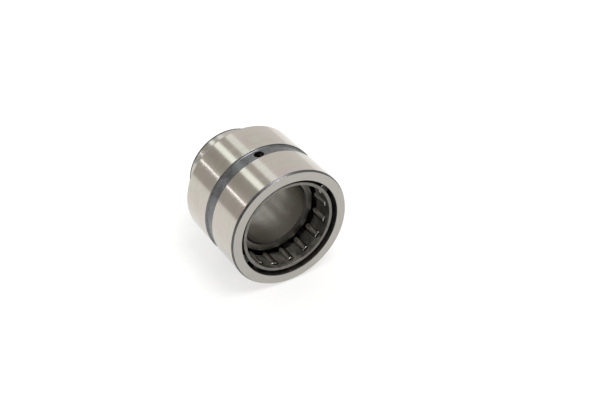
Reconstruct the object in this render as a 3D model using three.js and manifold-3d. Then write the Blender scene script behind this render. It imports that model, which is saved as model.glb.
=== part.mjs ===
// Needle roller bearing with integral ribs, a caged set of rollers and a separable inner ring.
// Millimetres. The bearing lies on its side: its axis is Y, the origin is the centre of the outer
// ring, -Y is the front face and +Z is up. The inner ring stands part of the way out at the back.

import * as THREE from "three";
import { mergeVertices } from "three/addons/utils/BufferGeometryUtils.js";
import Module from "manifold-3d";

const wasm = await Module();
wasm.setup();

// ---- driving dimensions ----

// both rings
const boreDiameter = 15;
const innerRaceDiameter = 19;
const outsideDiameter = 27;
const ringWidth = 20;
const innerRingShift = 6.5;
const innerRingChamfer = 0.35;

// outer ring: end chamfers, ribs, oil groove and oil hole
const chamferDepth = 0.3;
const chamferLength = 0.5;
const ribWidth = 1.75;
const ribBoreRadius = 11.25;
const ribChamfer = 0.08;
const grooveWidth = 3.1;
const grooveDepth = 0.35;
const grooveFlankRun = 0.3;
const oilHoleDiameter = 2;
const oilHoleAngle = THREE.MathUtils.degToRad(96);

// needle rollers
const needleCount = 16;
const needleDiameter = 2.5;
const needleLength = 15.8;
const needleEdgeRound = 0.28;
const firstNeedleAngle = THREE.MathUtils.degToRad(7);
const radialClearance = 0.02;

// cage: thin sheet. Each rim tapers inwards to a bend, and then slopes out to the waist, which lies
// beyond the pitch circle
const cageEndGap = 0.65;
const cageThickness = 0.75;
const cageRimRadius = 9.8;
const cageBendRadius = 9.72;
const cageWaistRadius = 10.9;
const cageRimLength = 4.8;
const cageSlopeLength = 1.9;
const cageEdgeRound = 0.12;
const pocketLength = 16.7;
const pocketClearance = 0.07;

// fineness of the facets, and how close two corners are before they are one
const ringSides = 80;
const needleSides = 16;
const pocketSides = 16;
const holeSides = 20;
const roundSteps = 2;
const weldDistance = 1e-5;

// ---- worked-out sizes ----

const innerRaceRadius = innerRaceDiameter / 2;
const outsideRadius = outsideDiameter / 2;
const halfWidth = ringWidth / 2;
const needleRadius = needleDiameter / 2;
const pitchRadius = innerRaceRadius + radialClearance + needleRadius;
const outerRaceRadius = pitchRadius + needleRadius + radialClearance;

// ---- materials ----

function steel(color, roughness) {
  return new THREE.MeshStandardMaterial({ color, roughness, metalness: 1 });
}

// ---- helpers ----

// Revolves an outline of [radius, y] points round the Y axis. It runs counter-clockwise, with
// radius to the right and y up, so that the faces point out.
function revolve(outline, sides) {
  const points = outline.map(([radius, y]) => new THREE.Vector2(radius, y));
  return new THREE.LatheGeometry(points, sides);
}

// Completes the front half of an outline with its mirror image, so that both ends match.
function bothEnds(frontHalf) {
  const backHalf = frontHalf.map(([radius, y]) => [radius, -y]).reverse();
  return frontHalf.concat(backHalf);
}

function closed(outline) {
  return outline.concat([outline[0]]);
}

// Points round a quarter of a circle, from one angle to the other.
function quarterRound(centreRadius, centreY, size, fromDegrees, toDegrees) {
  const points = [];
  for (let i = 0; i <= roundSteps; i++) {
    const degrees = fromDegrees + ((toDegrees - fromDegrees) * i) / roundSteps;
    const angle = THREE.MathUtils.degToRad(degrees);
    points.push([centreRadius + size * Math.cos(angle), centreY + size * Math.sin(angle)]);
  }
  return points;
}

function toSolid(geometry) {
  const bare = geometry.clone();
  bare.deleteAttribute("normal");
  bare.deleteAttribute("uv");
  const merged = mergeVertices(bare, weldDistance);
  const vertProperties = new Float32Array(merged.attributes.position.array);
  const triVerts = new Uint32Array(merged.index.array);
  return new wasm.Manifold(new wasm.Mesh({ numProp: 3, vertProperties, triVerts }));
}

function toGeometry(solid) {
  const mesh = solid.getMesh();
  const geometry = new THREE.BufferGeometry();
  geometry.setAttribute("position", new THREE.BufferAttribute(mesh.vertProperties, 3));
  geometry.setIndex(new THREE.BufferAttribute(mesh.triVerts, 1));
  geometry.computeVertexNormals();
  return geometry;
}

function part(name, geometry, material) {
  const mesh = new THREE.Mesh(geometry, material);
  mesh.name = name;
  return mesh;
}

// The centre of a needle roller, on the pitch circle.
function needleCentre(index) {
  const angle = firstNeedleAngle + (2 * Math.PI * index) / needleCount;
  return new THREE.Vector3(pitchRadius * Math.cos(angle), 0, pitchRadius * Math.sin(angle));
}

// ---- outer ring ----

function oilHole() {
  const wall = outsideRadius - outerRaceRadius;
  const drillRadius = oilHoleDiameter / 2;
  const drill = new THREE.CylinderGeometry(drillRadius, drillRadius, 2 * wall, holeSides);
  drill.translate(0, outerRaceRadius + wall / 2, 0);
  drill.rotateX(Math.PI / 2);
  drill.rotateY(Math.PI / 2 - oilHoleAngle);
  return toSolid(drill);
}

function outerRing() {
  const raceEnd = halfWidth - ribWidth;
  const frontHalf = [
    [outerRaceRadius, -raceEnd],
    [ribBoreRadius, -raceEnd],
    [ribBoreRadius, -halfWidth + ribChamfer],
    [ribBoreRadius + ribChamfer, -halfWidth],
    [outsideRadius - chamferDepth, -halfWidth],
    [outsideRadius, -halfWidth + chamferLength],
    [outsideRadius, -grooveWidth / 2],
    [outsideRadius - grooveDepth, -grooveWidth / 2 + grooveFlankRun],
  ];
  const ring = toSolid(revolve(closed(bothEnds(frontHalf)), ringSides));
  return part("outer_ring", toGeometry(ring.subtract(oilHole())), steel(0xaaa59d, 0.35));
}

// ---- inner ring ----

function innerRing() {
  const boreRadius = boreDiameter / 2;
  const frontHalf = [
    [boreRadius, -halfWidth + innerRingChamfer],
    [boreRadius + innerRingChamfer, -halfWidth],
    [innerRaceRadius - innerRingChamfer, -halfWidth],
    [innerRaceRadius, -halfWidth + innerRingChamfer],
  ];
  const ring = part("inner_ring", revolve(closed(bothEnds(frontHalf)), ringSides), steel(0x9c9994, 0.3));
  ring.position.y = innerRingShift;
  return ring;
}

// ---- cage ----

function cageBlank() {
  const end = halfWidth - cageEndGap;
  const rimOuterRadius = cageRimRadius + cageThickness;
  const waistEnd = end - cageRimLength - cageSlopeLength;
  const edgeY = -end + cageEdgeRound;
  const frontHalf = [
    [cageWaistRadius, -waistEnd],
    [cageBendRadius, -end + cageRimLength],
    ...quarterRound(cageRimRadius + cageEdgeRound, edgeY, cageEdgeRound, 180, 270),
    ...quarterRound(rimOuterRadius - cageEdgeRound, edgeY, cageEdgeRound, 270, 360),
    [cageBendRadius + cageThickness, -end + cageRimLength],
    [cageWaistRadius + cageThickness, -waistEnd],
  ];
  return toSolid(revolve(closed(bothEnds(frontHalf)), ringSides));
}

function pocket(index) {
  const radius = needleRadius + pocketClearance;
  const cutter = new THREE.CylinderGeometry(radius, radius, pocketLength, pocketSides);
  const centre = needleCentre(index);
  cutter.translate(centre.x, centre.y, centre.z);
  return toSolid(cutter);
}

function cage() {
  let body = cageBlank();
  for (let i = 0; i < needleCount; i++) {
    body = body.subtract(pocket(i));
  }
  return part("cage", toGeometry(body), steel(0x5c554d, 0.5));
}

// ---- needle rollers ----

function needle(index) {
  const end = needleLength / 2;
  const frontHalf = [
    [0, -end],
    ...quarterRound(needleRadius - needleEdgeRound, -end + needleEdgeRound, needleEdgeRound, 270, 360),
  ];
  const name = `needle_${String(index + 1).padStart(2, "0")}`;
  const roller = part(name, revolve(bothEnds(frontHalf), needleSides), steel(0xc8c6c2, 0.15));
  roller.position.copy(needleCentre(index));
  return roller;
}

// ---- assembly ----

const bearing = new THREE.Group();
bearing.add(outerRing());
bearing.add(innerRing());
bearing.add(cage());
for (let i = 0; i < needleCount; i++) {
  bearing.add(needle(i));
}

export default bearing;
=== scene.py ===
"""Needle roller bearing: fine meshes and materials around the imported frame. Metres, +Z up.

The bearing's axis is Y. Every piece is turned or repeated about it, so outlines are drawn in the
half plane of radius and y, in millimetres, and revolved.
"""

import math

import bpy
from mathutils import Matrix, Vector


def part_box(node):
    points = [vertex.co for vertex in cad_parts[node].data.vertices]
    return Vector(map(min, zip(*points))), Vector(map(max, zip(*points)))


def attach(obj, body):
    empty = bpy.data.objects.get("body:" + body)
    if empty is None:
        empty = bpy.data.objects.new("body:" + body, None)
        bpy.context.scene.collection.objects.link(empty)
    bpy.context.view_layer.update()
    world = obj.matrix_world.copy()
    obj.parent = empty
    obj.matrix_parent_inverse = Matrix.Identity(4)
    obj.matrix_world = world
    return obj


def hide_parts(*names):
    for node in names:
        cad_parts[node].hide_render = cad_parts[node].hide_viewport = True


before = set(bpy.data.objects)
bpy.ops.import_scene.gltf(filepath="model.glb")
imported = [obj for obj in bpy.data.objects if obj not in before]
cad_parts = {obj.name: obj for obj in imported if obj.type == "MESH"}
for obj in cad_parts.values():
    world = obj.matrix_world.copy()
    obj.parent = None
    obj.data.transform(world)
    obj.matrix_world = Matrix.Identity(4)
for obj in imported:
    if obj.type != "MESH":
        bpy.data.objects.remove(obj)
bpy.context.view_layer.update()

MM = 0.001

# ---- sizes in millimetres: overall ones from the frame, the rest as in the design ----


def size_of(node):
    """The lowest and highest corner of a CAD node, in millimetres."""
    low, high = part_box(node)
    return low / MM, high / MM


outer_low, outer_high = size_of("outer_ring")
inner_low, inner_high = size_of("inner_ring")
_, cage_high = size_of("cage")
needles = sorted(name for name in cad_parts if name.startswith("needle_"))
needle_low, needle_high = size_of(needles[0])

OUTSIDE_RADIUS = outer_high.z
HALF_WIDTH = outer_high.y
INNER_HALF_WIDTH = (inner_high.y - inner_low.y) / 2
INNER_MIDDLE = (inner_high.y + inner_low.y) / 2
INNER_RACE_RADIUS = inner_high.z
CAGE_HALF_WIDTH = cage_high.y
NEEDLE_RADIUS = (needle_high.z - needle_low.z) / 2
NEEDLE_HALF_LENGTH = needle_high.y

BORE_RADIUS = 7.5
INNER_CHAMFER = 0.35
LEAD_IN_LENGTH = 0.4
LEAD_IN_DEPTH = 0.05
LEAD_IN_ROUND = 0.5
OUTER_RACE_RADIUS = 12.04
RIB_WIDTH = 1.75
RIB_BORE_RADIUS = 11.25
RIB_CHAMFER = 0.08
CHAMFER_DEPTH = 0.3
CHAMFER_LENGTH = 0.5
GROOVE_HALF_WIDTH = 1.55
GROOVE_DEPTH = 0.35
GROOVE_FLANK_RUN = 0.3
GROOVE_CORNER_ROUND = 0.4
RACE_CORNER_ROUND = 0.15
RIB_EDGE_ROUND = 0.03
OIL_HOLE_RADIUS = 1.0
OIL_HOLE_ANGLE = math.radians(96)
OIL_HOLE_FLARE = 0.12
DRILL_OVERRUN = 1
CAGE_THICKNESS = 0.75
CAGE_RIM_RADIUS = 9.8
CAGE_BEND_RADIUS = 9.72
CAGE_WAIST_RADIUS = 10.9
CAGE_RIM_LENGTH = 4.8
CAGE_SLOPE_LENGTH = 1.9
CAGE_BEND_ROUND = 0.6
CAGE_EDGE_ROUND = 0.16
SHEARED_LENGTH = 0.35
POCKET_HALF_LENGTH = 8.35
POCKET_CLEARANCE = 0.07
POCKET_RADIUS = NEEDLE_RADIUS + POCKET_CLEARANCE
POCKET_CORNER_ROUND = 0.5
NEEDLE_END_ROUND = 0.28
NEEDLE_END_MARGIN = 0.04
NEEDLE_END_RADIUS = NEEDLE_RADIUS - NEEDLE_END_ROUND - NEEDLE_END_MARGIN
EDGE_BREAK = 0.05
ON_AXIS = 1e-6

# ---- fineness of the meshes ----

RING_STEPS = 256
NEEDLE_STEPS = 64
DRILL_STEPS = 48
ARC_STEP = math.radians(15)
SHARP_ANGLE = math.radians(35)

# ---- studio sizes in metres ----

FLOOR_HALF_SIZE = 3.0
SIDE_LIGHT_LENGTH = 1.2
SIDE_LIGHT_Y = 0.5


# ---- outlines ----


def both_ends(front, closing_zone):
    """A front half outline and its mirror image in y, as one outline that matches at both ends.

    Each point is (radius, y, rounding, zone), where zone names the stretch that leaves the point.
    closing_zone is the zone of the last stretch, from the outline's end back to its start.
    """
    back = []
    for i in range(len(front) - 1, -1, -1):
        radius, y, rounding, _ = front[i]
        zone = front[i - 1][3] if i else closing_zone
        back.append((radius, -y, rounding, zone))
    return front + back


def rounded(outline, closed):
    """Replaces each corner of an outline by an arc of its rounding.

    Returns the points, as vectors of radius and y, and the zone of the stretch that leaves each
    one. An arc of EDGE_BREAK is of the zone "edge", and any other arc is of its corner's zone.
    """
    points = []
    zones = []
    count = len(outline)
    for i, (radius, y, rounding, zone) in enumerate(outline):
        corner = Vector((radius, y))
        if not closed and i in (0, count - 1) or rounding == 0:
            points.append(corner)
            zones.append(zone)
            continue
        before = Vector(outline[i - 1][:2]) - corner
        after = Vector(outline[(i + 1) % count][:2]) - corner
        turn = math.pi - before.angle(after)
        reach = rounding * math.tan(turn / 2)
        start = corner + before.normalized() * reach
        end = corner + after.normalized() * reach
        middle = (before.normalized() + after.normalized()).normalized()
        centre = corner + middle * math.hypot(rounding, reach)
        steps = max(2, math.ceil(turn / ARC_STEP))
        first = start - centre
        side = 1 if first.x * (end - centre).y - first.y * (end - centre).x > 0 else -1
        arc_zone = "edge" if rounding == EDGE_BREAK else zone
        for k in range(steps + 1):
            angle = side * turn * k / steps
            spoke = Vector(
                (
                    first.x * math.cos(angle) - first.y * math.sin(angle),
                    first.x * math.sin(angle) + first.y * math.cos(angle),
                )
            )
            points.append(centre + spoke)
            zones.append(arc_zone if k < steps else zone)
    return points, zones


# ---- meshes ----


def revolve(name, outline, steps, slots, closed=True):
    """Revolves an outline about Y. It runs counter-clockwise, and slots maps its zones to materials."""
    points, zones = rounded(outline, closed)
    materials = list(dict.fromkeys(slots.values()))
    vertices = []
    rings = []
    for point in points:
        if point.x < ON_AXIS:
            rings.append([len(vertices)] * steps)
            vertices.append((0, point.y * MM, 0))
            continue
        rings.append(list(range(len(vertices), len(vertices) + steps)))
        for k in range(steps):
            angle = 2 * math.pi * k / steps
            x = point.x * math.cos(angle) * MM
            z = point.x * math.sin(angle) * MM
            vertices.append((x, point.y * MM, z))
    faces = []
    indices = []
    stretches = len(points) if closed else len(points) - 1
    for i in range(stretches):
        a = rings[i]
        b = rings[(i + 1) % len(points)]
        for k in range(steps):
            m = (k + 1) % steps
            corners = list(dict.fromkeys((a[k], b[k], b[m], a[m])))
            faces.append(corners)
            indices.append(materials.index(slots[zones[i]]))
    mesh = bpy.data.meshes.new(name)
    mesh.from_pydata(vertices, [], faces)
    for material in materials:
        mesh.materials.append(material)
    mesh.polygons.foreach_set("material_index", indices)
    mesh.polygons.foreach_set("use_smooth", [True] * len(faces))
    mesh.update()
    piece = bpy.data.objects.new(name, mesh)
    bpy.context.scene.collection.objects.link(piece)
    return piece


def finish_mesh(piece):
    """Marks sharp corners, and weights the shading so that broad faces look flat beside round edges."""
    piece.data.set_sharp_from_angle(angle=SHARP_ANGLE)
    weigh = piece.modifiers.new("weighted_normals", "WEIGHTED_NORMAL")
    weigh.keep_sharp = True
    return piece


def cut(piece, cutter):
    """Cuts a closed mesh out of a piece, and keeps the result as the piece's own mesh."""
    boolean = piece.modifiers.new("cut", "BOOLEAN")
    boolean.operation = "DIFFERENCE"
    boolean.solver = "EXACT"
    boolean.object = cutter
    bpy.context.view_layer.update()
    evaluated = piece.evaluated_get(bpy.context.evaluated_depsgraph_get())
    mesh = bpy.data.meshes.new_from_object(evaluated)
    piece.modifiers.remove(boolean)
    old = piece.data
    piece.data = mesh
    bpy.data.meshes.remove(old)
    bpy.data.objects.remove(cutter)
    return piece


# ---- material nodes ----


def rgb(red, green, blue):
    return (red, green, blue, 1.0)


# the two faint casts that ground steel drifts between
GREENISH = rgb(0.96, 1.0, 0.95)
ROSY = rgb(1.0, 0.955, 0.965)
COAT_ROUGHNESS = 0.12


def add(tree, kind, inputs=(), **settings):
    """Adds a node. An input's value is a number, a colour, or another node's output socket."""
    node = tree.nodes.new(kind)
    for name, value in settings.items():
        setattr(node, name, value)
    for name, value in dict(inputs).items():
        if isinstance(value, bpy.types.NodeSocket):
            tree.links.new(value, node.inputs[name])
        else:
            node.inputs[name].default_value = value
    return node


def lathe_coordinates(tree, across, along):
    """Noise coordinates that follow the turning: fine across the lay, slow along it, with no seam.

    Returns a vector and a fourth value. across is in cycles per metre. along is the radius of the
    turn in the noise, so a turn has about six cycles for each unit of it.
    """
    coordinates = add(tree, "ShaderNodeTexCoord")
    parts = add(tree, "ShaderNodeSeparateXYZ", {"Vector": coordinates.outputs["Object"]})
    flat = add(tree, "ShaderNodeCombineXYZ", {"X": parts.outputs["X"], "Z": parts.outputs["Z"]})
    radius = add(tree, "ShaderNodeVectorMath", {0: flat.outputs[0]}, operation="LENGTH")
    turned = add(tree, "ShaderNodeVectorMath", {0: flat.outputs[0]}, operation="NORMALIZE")
    spoke = add(tree, "ShaderNodeSeparateXYZ", {"Vector": turned.outputs[0]})
    wide = add(tree, "ShaderNodeMath", {0: radius.outputs["Value"], 1: across}, operation="MULTIPLY")
    deep = add(tree, "ShaderNodeMath", {0: parts.outputs["Y"], 1: across}, operation="MULTIPLY")
    slow_x = add(tree, "ShaderNodeMath", {0: spoke.outputs["X"], 1: along}, operation="MULTIPLY")
    slow_z = add(tree, "ShaderNodeMath", {0: spoke.outputs["Z"], 1: along}, operation="MULTIPLY")
    axes = {"X": wide.outputs[0], "Y": deep.outputs[0], "Z": slow_x.outputs[0]}
    vector = add(tree, "ShaderNodeCombineXYZ", axes)
    return vector.outputs[0], slow_z.outputs[0]


def lay(tree, across, along, detail=3.0):
    """Lines that run round the axis, as grinding and turning leave them. From 0 to 1."""
    vector, fourth = lathe_coordinates(tree, across, along)
    noise = add(
        tree,
        "ShaderNodeTexNoise",
        {"Vector": vector, "W": fourth, "Scale": 1.0, "Detail": detail, "Roughness": 0.6},
        noise_dimensions="4D",
    )
    return noise.outputs["Fac"]


def mottle(tree, scale, detail=4.0, distortion=0.0, seed=None):
    """Even blotches about 1 / scale metres across, from 0 to 1. A seed gives another pattern."""
    coordinates = add(tree, "ShaderNodeTexCoord")
    inputs = {
        "Vector": coordinates.outputs["Object"],
        "Scale": scale,
        "Detail": detail,
        "Distortion": distortion,
    }
    if seed is None:
        noise = add(tree, "ShaderNodeTexNoise", inputs)
    else:
        noise = add(tree, "ShaderNodeTexNoise", {**inputs, "W": seed}, noise_dimensions="4D")
    return noise.outputs["Fac"]


def spread(tree, value, low, high, from_low=0.3, from_high=0.7):
    """Maps a noise value onto a range, clamped."""
    ranged = add(
        tree,
        "ShaderNodeMapRange",
        {"Value": value, "From Min": from_low, "From Max": from_high, "To Min": low, "To Max": high},
    )
    return ranged.outputs["Result"]


def blend(tree, factor, first, second, blend_type="MIX"):
    """Mixes two colours. Each is a colour or a colour socket, and factor a number or a value socket."""
    mix = add(tree, "ShaderNodeMix", data_type="RGBA", blend_type=blend_type)
    for socket, value in ((mix.inputs["Factor"], factor), (mix.inputs[6], first), (mix.inputs[7], second)):
        if isinstance(value, bpy.types.NodeSocket):
            tree.links.new(value, socket)
        else:
            socket.default_value = value
    return mix.outputs[2]


def metal(name, anisotropy=0.0, coat=0.0, metallic=1.0):
    """A metal's material, its tree and its shader, whose constant values are set here."""
    material = bpy.data.materials.new(name)
    material.use_nodes = True
    tree = material.node_tree
    shader = tree.nodes["Principled BSDF"]
    shader.inputs["Metallic"].default_value = metallic
    shader.inputs["Anisotropic"].default_value = anisotropy
    shader.inputs["Coat Weight"].default_value = coat
    shader.inputs["Coat Roughness"].default_value = COAT_ROUGHNESS
    if anisotropy:
        tangent = add(tree, "ShaderNodeTangent", direction_type="RADIAL", axis="Y")
        tree.links.new(tangent.outputs[0], shader.inputs["Tangent"])
    return material, tree, shader


def surface(tree, shader, colour, roughness, relief, depth):
    """Plugs colour, roughness and a relief of some depth in metres into a shader."""
    tree.links.new(colour, shader.inputs["Base Color"])
    tree.links.new(roughness, shader.inputs["Roughness"])
    bump = add(tree, "ShaderNodeBump", {"Height": relief, "Distance": depth, "Strength": 1.0})
    tree.links.new(bump.outputs["Normal"], shader.inputs["Normal"])


def mean(tree, first, second, share=0.5):
    """A weighted mean of two values. share is the weight of the second."""
    mix = add(tree, "ShaderNodeMix", {"Factor": share, 2: first, 3: second}, data_type="FLOAT")
    return mix.outputs[0]


def ground_steel(name, light, dark, smooth, rough, anisotropy=0.55, depth=0.3e-6):
    """Ground bearing steel: fine and broad lines round the axis, a faint cast and faint brown stains."""
    material, tree, shader = metal(name, anisotropy)
    fine = lay(tree, across=16000, along=1.4)
    broad = lay(tree, across=2600, along=0.8, detail=2.0)
    stain = mottle(tree, 240, detail=5.0, distortion=0.6)
    lines = mean(tree, fine, broad, 0.4)
    tone = blend(tree, spread(tree, lines, 0.0, 1.0, 0.35, 0.65), dark, light)
    cast = blend(tree, spread(tree, mottle(tree, 150, detail=2.0), 0.0, 1.0), GREENISH, ROSY)
    tone = blend(tree, 1.0, tone, cast, "MULTIPLY")
    tone = blend(tree, spread(tree, stain, 0.0, 0.22, 0.5, 0.75), tone, rgb(0.36, 0.32, 0.27))
    surface(tree, shader, tone, spread(tree, lines, smooth, rough), fine, depth)
    return material


def face_steel(name, light, dark, smooth, rough):
    """A ground end face: fine speckle over faint rings, with faint stains."""
    material, tree, shader = metal(name, 0.15)
    rings = lay(tree, across=9000, along=5.0)
    speckle = mottle(tree, 9000, detail=3.0)
    stain = mottle(tree, 300, detail=4.0)
    grain = mean(tree, rings, speckle, 0.6)
    tone = blend(tree, spread(tree, grain, 0.0, 1.0, 0.35, 0.65), dark, light)
    tone = blend(tree, spread(tree, stain, 0.0, 0.15, 0.5, 0.75), tone, rgb(0.3, 0.28, 0.25))
    surface(tree, shader, tone, spread(tree, grain, smooth, rough), grain, 1.5e-6)
    return material


def black_steel(name, light, dark, smooth, rough):
    """Turned and heat-treated steel that was never ground: dark, with coarser turning lines."""
    material, tree, shader = metal(name, 0.3)
    turning = lay(tree, across=5000, along=0.6, detail=2.5)
    scale = mottle(tree, 900, detail=5.0, distortion=0.4)
    tone = blend(tree, spread(tree, scale, 0.0, 1.0), dark, light)
    tone = blend(tree, spread(tree, turning, 0.0, 0.35, 0.5, 0.8), tone, light)
    roughness = spread(tree, mean(tree, turning, scale), smooth, rough)
    surface(tree, shader, tone, roughness, turning, 2.5e-6)
    return material


def cage_steel():
    """Pressed sheet: dark and oiled, softly mottled, with paler worn patches and a fine grain."""
    material, tree, shader = metal("cage_pressed_steel", coat=0.1, metallic=0.55)
    patches = mottle(tree, 700, detail=5.0, distortion=0.8)
    grain = mottle(tree, 7000, detail=3.0)
    worn = mottle(tree, 230, detail=2.0, seed=1.0)
    tone = blend(tree, spread(tree, patches, 0.0, 1.0), rgb(0.035, 0.034, 0.029), rgb(0.12, 0.117, 0.102))
    tone = blend(tree, spread(tree, worn, 0.0, 0.8, 0.5, 0.66), tone, rgb(0.36, 0.355, 0.31))
    tone = blend(tree, spread(tree, grain, 0.0, 0.4, 0.5, 0.8), tone, rgb(0.22, 0.215, 0.19))
    surface(tree, shader, tone, spread(tree, grain, 0.3, 0.48), mean(tree, grain, patches), 4e-6)
    return material


def needle_steel():
    """Superfinished rollers: bright, with hair-fine lines round each one."""
    material, tree, shader = metal("needle_superfinished_steel", 0.3)
    fine = lay(tree, across=22000, along=1.0)
    stain = mottle(tree, 600, detail=4.0)
    tone = blend(tree, spread(tree, fine, 0.0, 1.0), rgb(0.26, 0.253, 0.24), rgb(0.35, 0.34, 0.325))
    tone = blend(tree, spread(tree, stain, 0.0, 0.2, 0.5, 0.8), tone, rgb(0.4, 0.37, 0.33))
    surface(tree, shader, tone, spread(tree, fine, 0.06, 0.11), fine, 0.15e-6)
    return material


# ---- pieces ----


def outer_ring():
    race_end = HALF_WIDTH - RIB_WIDTH
    groove_floor = OUTSIDE_RADIUS - GROOVE_DEPTH
    flank_end = GROOVE_HALF_WIDTH - GROOVE_FLANK_RUN
    front = [
        (OUTER_RACE_RADIUS, -race_end, RACE_CORNER_ROUND, "bore"),
        (RIB_BORE_RADIUS, -race_end, EDGE_BREAK, "bore"),
        (RIB_BORE_RADIUS, -HALF_WIDTH + RIB_CHAMFER, RIB_EDGE_ROUND, "bore"),
        (RIB_BORE_RADIUS + RIB_CHAMFER, -HALF_WIDTH, RIB_EDGE_ROUND, "face"),
        (OUTSIDE_RADIUS - CHAMFER_DEPTH, -HALF_WIDTH, EDGE_BREAK, "chamfer"),
        (OUTSIDE_RADIUS, -HALF_WIDTH + CHAMFER_LENGTH, EDGE_BREAK, "land"),
        (OUTSIDE_RADIUS, -GROOVE_HALF_WIDTH, EDGE_BREAK, "groove"),
        (groove_floor, -flank_end, GROOVE_CORNER_ROUND, "groove"),
    ]
    land = ground_steel("outer_land_ground", rgb(0.565, 0.53, 0.487), rgb(0.5, 0.468, 0.428), 0.09, 0.16)
    slots = {
        "land": land,
        "edge": land,
        "face": face_steel("outer_face_ground", rgb(0.47, 0.455, 0.42), rgb(0.37, 0.355, 0.33), 0.25, 0.36),
        "chamfer": black_steel("turned_chamfer", rgb(0.13, 0.13, 0.135), rgb(0.08, 0.08, 0.085), 0.3, 0.42),
        "groove": black_steel("turned_groove", rgb(0.19, 0.191, 0.2), rgb(0.13, 0.131, 0.139), 0.2, 0.34),
        "bore": black_steel("turned_rib_bore", rgb(0.17, 0.162, 0.153), rgb(0.11, 0.105, 0.1), 0.4, 0.55),
        "race": ground_steel("outer_race_ground", rgb(0.58, 0.56, 0.52), rgb(0.48, 0.46, 0.42), 0.1, 0.18),
        # The oil hole's wall is near black, darker than the other turned steel: painted shade, so the whole
        # hole reads dark, its lit side too.
        "hole": black_steel("oil_hole_wall_painted_shade", rgb(0.05, 0.05, 0.052), rgb(0.025, 0.025, 0.027), 0.4, 0.55),
    }
    ring = revolve("ring_outer", both_ends(front, "race"), RING_STEPS, slots)
    cut(ring, oil_drill(slots))
    return ring


def oil_drill(slots):
    """The oil hole's cutter: a straight drill that flares at the groove's floor."""
    groove_floor = OUTSIDE_RADIUS - GROOVE_DEPTH
    inner_end = OUTER_RACE_RADIUS - DRILL_OVERRUN
    outer_end = OUTSIDE_RADIUS + DRILL_OVERRUN
    flared_radius = OIL_HOLE_RADIUS + 2 * OIL_HOLE_FLARE
    outline = [
        (0, inner_end, 0, "hole"),
        (OIL_HOLE_RADIUS, inner_end, 0, "hole"),
        (OIL_HOLE_RADIUS, groove_floor - OIL_HOLE_FLARE, 0, "groove"),
        (flared_radius, groove_floor + OIL_HOLE_FLARE, 0, "groove"),
        (flared_radius, outer_end, 0, "groove"),
        (0, outer_end, 0, "groove"),
    ]
    drill = revolve("oil_drill", outline, DRILL_STEPS, slots, closed=False)
    drill.rotation_euler = (math.pi / 2, math.pi / 2 - OIL_HOLE_ANGLE, 0)
    return drill


def inner_ring():
    chamfer_end = -INNER_HALF_WIDTH + INNER_CHAMFER
    front = [
        (BORE_RADIUS, chamfer_end, EDGE_BREAK, "chamfer"),
        (BORE_RADIUS + INNER_CHAMFER, -INNER_HALF_WIDTH, EDGE_BREAK, "face"),
        (INNER_RACE_RADIUS - INNER_CHAMFER, -INNER_HALF_WIDTH, EDGE_BREAK, "chamfer"),
        (INNER_RACE_RADIUS - LEAD_IN_DEPTH, chamfer_end, EDGE_BREAK, "chamfer"),
        (INNER_RACE_RADIUS, chamfer_end + LEAD_IN_LENGTH, LEAD_IN_ROUND, "race"),
    ]
    race = ground_steel("inner_race_ground", rgb(0.58, 0.56, 0.52), rgb(0.48, 0.46, 0.42), 0.12, 0.2)
    chamfer = black_steel("inner_chamfer", rgb(0.075, 0.072, 0.068), rgb(0.045, 0.043, 0.04), 0.35, 0.5)
    bore_light = rgb(0.3, 0.286, 0.265)
    bore_dark = rgb(0.25, 0.237, 0.22)
    slots = {
        "race": race,
        "edge": chamfer,
        "bore": ground_steel("inner_bore_ground", bore_light, bore_dark, 0.26, 0.32, depth=0.05e-6),
        "face": face_steel("inner_face_ground", rgb(0.28, 0.264, 0.24), rgb(0.2, 0.188, 0.17), 0.26, 0.38),
        "chamfer": chamfer,
    }
    outline = []
    for radius, y, rounding, zone in both_ends(front, "bore"):
        outline.append((radius, y + INNER_MIDDLE, rounding, zone))
    return revolve("ring_inner", outline, RING_STEPS, slots)


def cage():
    waist_end = CAGE_HALF_WIDTH - CAGE_RIM_LENGTH - CAGE_SLOPE_LENGTH
    rim_end = CAGE_HALF_WIDTH - CAGE_RIM_LENGTH
    front = [
        (CAGE_WAIST_RADIUS, -waist_end, CAGE_BEND_ROUND, "sheet"),
        (CAGE_BEND_RADIUS, -rim_end, CAGE_BEND_ROUND, "sheet"),
        (CAGE_RIM_RADIUS, -CAGE_HALF_WIDTH, CAGE_EDGE_ROUND, "sheared"),
        (CAGE_RIM_RADIUS + CAGE_THICKNESS, -CAGE_HALF_WIDTH, CAGE_EDGE_ROUND, "sheared"),
        (CAGE_RIM_RADIUS + CAGE_THICKNESS, -CAGE_HALF_WIDTH + SHEARED_LENGTH, 0, "sheet"),
        (CAGE_BEND_RADIUS + CAGE_THICKNESS, -rim_end, CAGE_BEND_ROUND, "sheet"),
        (CAGE_WAIST_RADIUS + CAGE_THICKNESS, -waist_end, CAGE_BEND_ROUND, "sheet"),
    ]
    sheared_light = rgb(0.235, 0.226, 0.205)
    sheared_dark = rgb(0.16, 0.153, 0.14)
    slots = {
        "sheet": cage_steel(),
        "sheared": black_steel("cage_sheared_end", sheared_light, sheared_dark, 0.35, 0.5),
    }
    body = revolve("cage_pressed", both_ends(front, "sheet"), RING_STEPS, slots)
    return cut(body, pocket_punch(slots))


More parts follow.
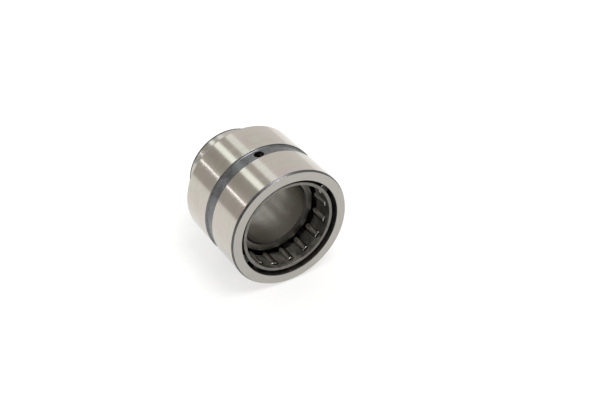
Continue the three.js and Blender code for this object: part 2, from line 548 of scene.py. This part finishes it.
def pocket_punch(slots):
    """One mesh of all the pockets' cutters, each round its own roller."""
    outline = [
        (0, -POCKET_HALF_LENGTH, 0, "sheet"),
        (POCKET_RADIUS, -POCKET_HALF_LENGTH, POCKET_CORNER_ROUND, "sheet"),
        (POCKET_RADIUS, POCKET_HALF_LENGTH, POCKET_CORNER_ROUND, "sheet"),
        (0, POCKET_HALF_LENGTH, 0, "sheet"),
    ]
    punches = []
    for name in needles:
        punch = revolve("punch", outline, NEEDLE_STEPS, slots, closed=False)
        punch.location = needle_centre(name)
        punches.append(punch)
    bpy.context.view_layer.update()
    first = punches[0]
    with bpy.context.temp_override(
        active_object=first,
        object=first,
        selected_editable_objects=punches,
        selected_objects=punches,
    ):
        bpy.ops.object.join()
    return first


def needle_centre(name):
    """The centre of a roller, in metres."""
    low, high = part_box(name)
    return (low + high) / 2


def needle_mesh():
    """A roller about the origin, whose mesh all the rollers share."""
    outline = [
        (0, -NEEDLE_HALF_LENGTH, 0, "end"),
        (NEEDLE_END_RADIUS, -NEEDLE_HALF_LENGTH, 0, "roller"),
        (NEEDLE_RADIUS, -NEEDLE_HALF_LENGTH, NEEDLE_END_ROUND, "roller"),
        (NEEDLE_RADIUS, NEEDLE_HALF_LENGTH, NEEDLE_END_ROUND, "roller"),
        (NEEDLE_END_RADIUS, NEEDLE_HALF_LENGTH, 0, "end"),
        (0, NEEDLE_HALF_LENGTH, 0, "end"),
    ]
    slots = {
        "roller": needle_steel(),
        "end": black_steel("needle_end_dull", rgb(0.13, 0.126, 0.12), rgb(0.08, 0.077, 0.073), 0.4, 0.55),
    }
    return revolve("roller", outline, NEEDLE_STEPS, slots, closed=False)


def place(piece, body, slot, *nodes):
    finish_mesh(piece)
    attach(piece, body)
    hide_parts(*nodes)


def build_bearing():
    place(outer_ring(), "outer_ring", "outer_ring_steel", "outer_ring")
    place(inner_ring(), "inner_ring", "inner_ring_steel", "inner_ring")
    place(cage(), "cage", "cage_steel", "cage")
    first = needle_mesh()
    for name in needles:
        roller = bpy.data.objects.new(name.replace("needle", "roller"), first.data)
        bpy.context.scene.collection.objects.link(roller)
        roller.location = needle_centre(name)
        place(roller, name, "needle_steel", name)
    bpy.data.objects.remove(first)


# ---- studio ----


def floor():
    """White ground at the height of the bearing's lowest point."""
    far = FLOOR_HALF_SIZE
    z = outer_low.z * MM
    corners = [(-far, -far, z), (far, -far, z), (far, far, z), (-far, far, z)]
    mesh = bpy.data.meshes.new("floor")
    mesh.from_pydata(corners, [], [(0, 1, 2, 3)])
    sheet = bpy.data.objects.new("floor", mesh)
    bpy.context.scene.collection.objects.link(sheet)
    material = bpy.data.materials.new("floor_paper")
    material.use_nodes = True
    shader = material.node_tree.nodes["Principled BSDF"]
    shader.inputs["Base Color"].default_value = rgb(0.42, 0.42, 0.418)
    shader.inputs["Roughness"].default_value = 0.9
    shader.inputs["Specular IOR Level"].default_value = 0.2
    shader.inputs["Emission Color"].default_value = rgb(1.0, 1.0, 1.0)
    shader.inputs["Emission Strength"].default_value = 0.62
    mesh.materials.append(material)


def area_light(name, location, rotation, size, power, colour):
    data = bpy.data.lights.new(name, "AREA")
    data.shape = "RECTANGLE"
    data.size, data.size_y = size
    data.energy = power
    data.color = colour
    lamp = bpy.data.objects.new(name, data)
    bpy.context.scene.collection.objects.link(lamp)
    lamp.location = location
    lamp.rotation_euler = rotation


def overhead_light(location, size, power, colour):
    toward_bearing = -Vector(location)
    rotation = toward_bearing.to_track_quat("-Z", "Y").to_euler()
    area_light("overhead", location, rotation, size, power, colour)


def side_light(name, angle_degrees, distance, width, power, colour):
    """A long light parallel to the bearing's axis, behind it, at an angle about the axis from +X."""
    angle = math.radians(angle_degrees)
    location = (distance * math.cos(angle), SIDE_LIGHT_Y, distance * math.sin(angle))
    away = Vector((math.cos(angle), 0, math.sin(angle)))
    along = Vector((0, 1, 0))
    rotation = Matrix((along.cross(away), along, away)).transposed().to_euler()
    area_light(name, location, rotation, (width, SIDE_LIGHT_LENGTH), power, colour)


def light_room():
    world = bpy.data.worlds.new("room")
    world.use_nodes = True
    background = world.node_tree.nodes["Background"]
    background.inputs["Color"].default_value = rgb(1.0, 0.965, 0.9)
    background.inputs["Strength"].default_value = 0.48
    bpy.context.scene.world = world
    overhead_light(location=(0.1, -0.35, 1.1), size=(0.5, 0.5), power=6.0, colour=(1.0, 0.995, 0.99))
    side_light("panel_right", 39, distance=0.6, width=0.94, power=1.6, colour=(0.956, 0.955, 1.0))
    side_light("panel_left", 158, distance=0.6, width=0.46, power=0.12, colour=(1.0, 0.98, 0.95))
    side_light("strip_soft", 83.4, distance=0.5, width=0.117, power=0.335, colour=(0.866, 0.991, 1.0))
    side_light("strip_fill", 96.2, distance=0.5, width=0.344, power=0.15, colour=(0.98, 1.0, 1.0))
    side_light("strip_wide", 109.9, distance=0.5, width=0.099, power=0.425, colour=(0.88, 1.0, 0.975))
    side_light("strip_thin", 150, distance=0.5, width=0.015, power=0.239, colour=(0.92, 0.935, 1.0))


def set_camera():
    """The view that looks down into the front of the bearing from its left."""
    azimuth = math.radians(-31.5)
    elevation = math.radians(35.95)
    aim = Vector((6.3, -3.4, 0.8)) * MM
    distance = 250.5 * MM
    level = math.cos(elevation)
    toward = Vector((math.sin(azimuth) * level, -math.cos(azimuth) * level, math.sin(elevation)))
    data = bpy.data.cameras.new("camera")
    data.lens = 72
    data.sensor_width = 36
    camera = bpy.data.objects.new("camera", data)
    bpy.context.scene.collection.objects.link(camera)
    camera.location = aim + toward * distance
    camera.rotation_euler = (-toward).to_track_quat("-Z", "Y").to_euler()
    data.clip_start = 0.01
    bpy.context.scene.camera = camera


set_camera()
build_bearing()
floor()
light_room()
bpy.context.scene.view_settings.view_transform = "Standard"
